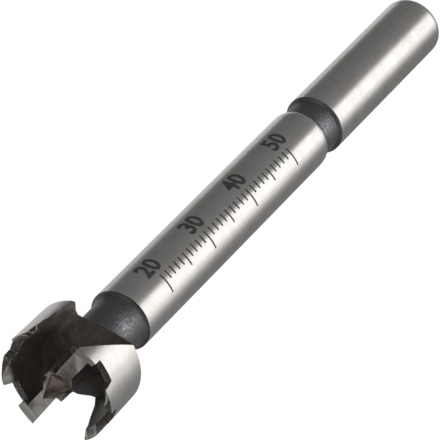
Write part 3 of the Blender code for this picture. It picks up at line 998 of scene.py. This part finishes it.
def stage_material(name, colour, sheen):
    """A pale matt surface. The camera sees it as a plain bright background with a little of the real
    shade left in it, so that the bit keeps its shadow. The metal sees it at a brightness of its own,
    darker beside the bit and brighter far off on the key lamp's side."""
    finish = Finish(name)
    tree, shader = finish.tree, finish.shader
    finish.set("Base Color", shaded(colour, 0.8))
    finish.set("Roughness", 0.9)
    finish.set("Specular IOR Level", 0.1)
    glow = add_node(tree, "Emission")
    glow.inputs["Color"].default_value = shaded(colour)
    path = add_node(tree, "LightPath").outputs
    seen = maths(tree, "MAXIMUM", path["Is Camera Ray"], path["Is Transmission Ray"])
    side = parts_of(tree, add_node(tree, "TexCoord").outputs["Object"])["X"]
    near = ramp(tree, side, *SHADE_FALL, sheen, SHADE_SHARE * sheen)
    far = ramp(tree, side, *FAR_RISE, 0.0, FAR_SHARE * sheen)
    mirrored = maths(tree, "MULTIPLY", path["Is Glossy Ray"], maths(tree, "ADD", near, far))
    bright = maths(tree, "MAXIMUM", maths(tree, "MULTIPLY", seen, CAMERA_GLOW), mirrored)
    feed(tree, glow.inputs["Strength"], bright)
    either = maths(tree, "MAXIMUM", seen, path["Is Glossy Ray"])
    share = maths(tree, "MULTIPLY", either, GLOW_SHARE)
    mix = add_node(tree, "MixShader")
    feed(tree, mix.inputs["Fac"], share)
    tree.links.new(shader.outputs["BSDF"], mix.inputs[1])
    tree.links.new(glow.outputs["Emission"], mix.inputs[2])
    tree.links.new(mix.outputs["Shader"], tree.nodes["Material Output"].inputs["Surface"])
    return finish.material


# Each lamp's place, the direction that it faces, the direction of its first side, and the lengths of
# its two sides, in metres in the world
LAMPS = {
    "key": ((0.42, 0.44, 0.195), (-0.91, 0.0, -0.41), (0.0, 1.0, 0.0), (1.0, 0.41)),
    "fill": ((-0.2, -0.5, 0.55), (0.2, 0.5, -0.55), (1.0, 0.0, 0.0), (0.5, 0.5)),
}


def add_lamp(name, power):
    """One of the rectangular soft lamps, with its power in watts."""
    place, facing, first_side, size = LAMPS[name]
    light = bpy.data.lights.new(name, "AREA")
    light.shape = "RECTANGLE"
    light.size, light.size_y = size
    light.energy = power
    back = -Vector(facing).normalized()
    y_axis = back.cross(Vector(first_side).normalized()).normalized()
    turn = Matrix((y_axis.cross(back), y_axis, back)).transposed().to_4x4()
    lamp = add_object(name, light)
    lamp.matrix_world = Matrix.Translation(place) @ turn
    lamp.visible_camera = False


# The photograph's camera in the cutting frame: its place, and the directions of the picture's right
# and top. Its lens comes from the focal length in pixels and the picture's longer side.
CAMERA_PLACE = (0.0000341, 0.31378, 0.27642)
CAMERA_RIGHT = (0.71037694, 0.49754183, -0.49781194)
CAMERA_UP = (-0.70382142, 0.50209866, -0.50252596)
SENSOR_MM = 36.0
FOCAL_PIXELS, PICTURE_PIXELS = 3700, 442


def add_camera(matrix):
    """The camera of the photograph, set where it stood round the bit."""
    data = bpy.data.cameras.new("camera")
    data.sensor_width = SENSOR_MM
    data.lens = FOCAL_PIXELS * SENSOR_MM / PICTURE_PIXELS
    data.clip_start, data.clip_end = 0.02, 20.0
    camera = add_object("camera", data)
    right, up = Vector(CAMERA_RIGHT), Vector(CAMERA_UP)
    turn = Matrix((right, up, right.cross(up))).transposed().to_4x4()
    camera.matrix_world = matrix @ Matrix.Translation(CAMERA_PLACE) @ turn
    bpy.context.scene.camera = camera


# Colours of the room, away from the key lamp and on its side
ROOM_DIM = (0.17, 0.17, 0.172, 1.0)
ROOM_BRIGHT = (0.3, 0.3, 0.3, 1.0)


def set_world(background):
    """A grey room that is a little brighter on the key's side, and a plain backdrop for the camera."""
    world = bpy.data.worlds.new("studio")
    world.use_nodes = True
    tree = world.node_tree
    direction = add_node(tree, "TexCoord").outputs["Generated"]
    side = ramp(tree, parts_of(tree, direction)["X"], -0.8, 0.8)
    room = mix_colours(tree, side, ROOM_DIM, ROOM_BRIGHT)
    path = add_node(tree, "LightPath").outputs
    colour = mix_colours(tree, path["Is Camera Ray"], room, shaded(background))
    feed(tree, tree.nodes["Background"].inputs["Color"], colour)
    bpy.context.scene.world = world


# Side of the square table
TABLE_SIDE = 3.0


class FORSTNER_OT_stage(bpy.types.Operator):
    """Set the table, the lamps, the world and the camera"""

    bl_idname = "forstner.stage"
    bl_label = "Stage"

    def execute(self, context):
        scene = context.scene
        stage = scene.bit_stage
        background = tuple(stage.background)
        mesh = bpy.data.meshes.new("table")
        low, high = -TABLE_SIDE / 2, TABLE_SIDE / 2
        corners = [(low, low, 0), (high, low, 0), (high, high, 0), (low, high, 0)]
        mesh.from_pydata(corners, [], [(0, 1, 2, 3)])
        mesh.materials.append(stage_material("table_white", background, stage.table_sheen))
        table = add_object("table", mesh)
        add_lamp("key", stage.key_power)
        add_lamp("fill", stage.fill_power)
        set_world(background)
        scene.view_settings.view_transform = "Standard"
        add_camera(cutting_frame(scene.bit_sizes))
        return {"FINISHED"}


GROUPS = (
    ("bit_sizes", BitSizes),
    ("bit_finishes", BitFinishes),
    ("bit_scale", ScaleSizes),
    ("bit_stage", StageSettings),
)


class FORSTNER_PT_bit(bpy.types.Panel):
    """Sizes, finishes and stage of the forstner bit"""

    bl_label = "Forstner bit"
    bl_idname = "FORSTNER_PT_bit"
    bl_space_type = "VIEW_3D"
    bl_region_type = "UI"
    bl_category = "Forstner bit"

    def draw(self, context):
        for name, group in GROUPS:
            box = self.layout.box()
            for setting in group.__annotations__:
                box.prop(getattr(context.scene, name), setting)
        for operator in OPERATORS:
            self.layout.operator(operator.bl_idname)


OPERATORS = (FORSTNER_OT_bit, FORSTNER_OT_scale, FORSTNER_OT_stage)


def register():
    """Adds the settings to the scene, and the operators and the panel to Blender."""
    for name, group in GROUPS:
        bpy.utils.register_class(group)
        setattr(bpy.types.Scene, name, bpy.props.PointerProperty(type=group))
    for cls in (*OPERATORS, FORSTNER_PT_bit):
        bpy.utils.register_class(cls)


def unregister():
    """Takes away what register adds."""
    for cls in (FORSTNER_PT_bit, *reversed(OPERATORS)):
        bpy.utils.unregister_class(cls)
    for name, group in reversed(GROUPS):
        delattr(bpy.types.Scene, name)
        bpy.utils.unregister_class(group)


def main():
    """Builds the pieces and the stage."""
    register()
    bpy.ops.forstner.bit()
    bpy.ops.forstner.scale()
    bpy.ops.forstner.stage()


if __name__ == "__main__":
    main()
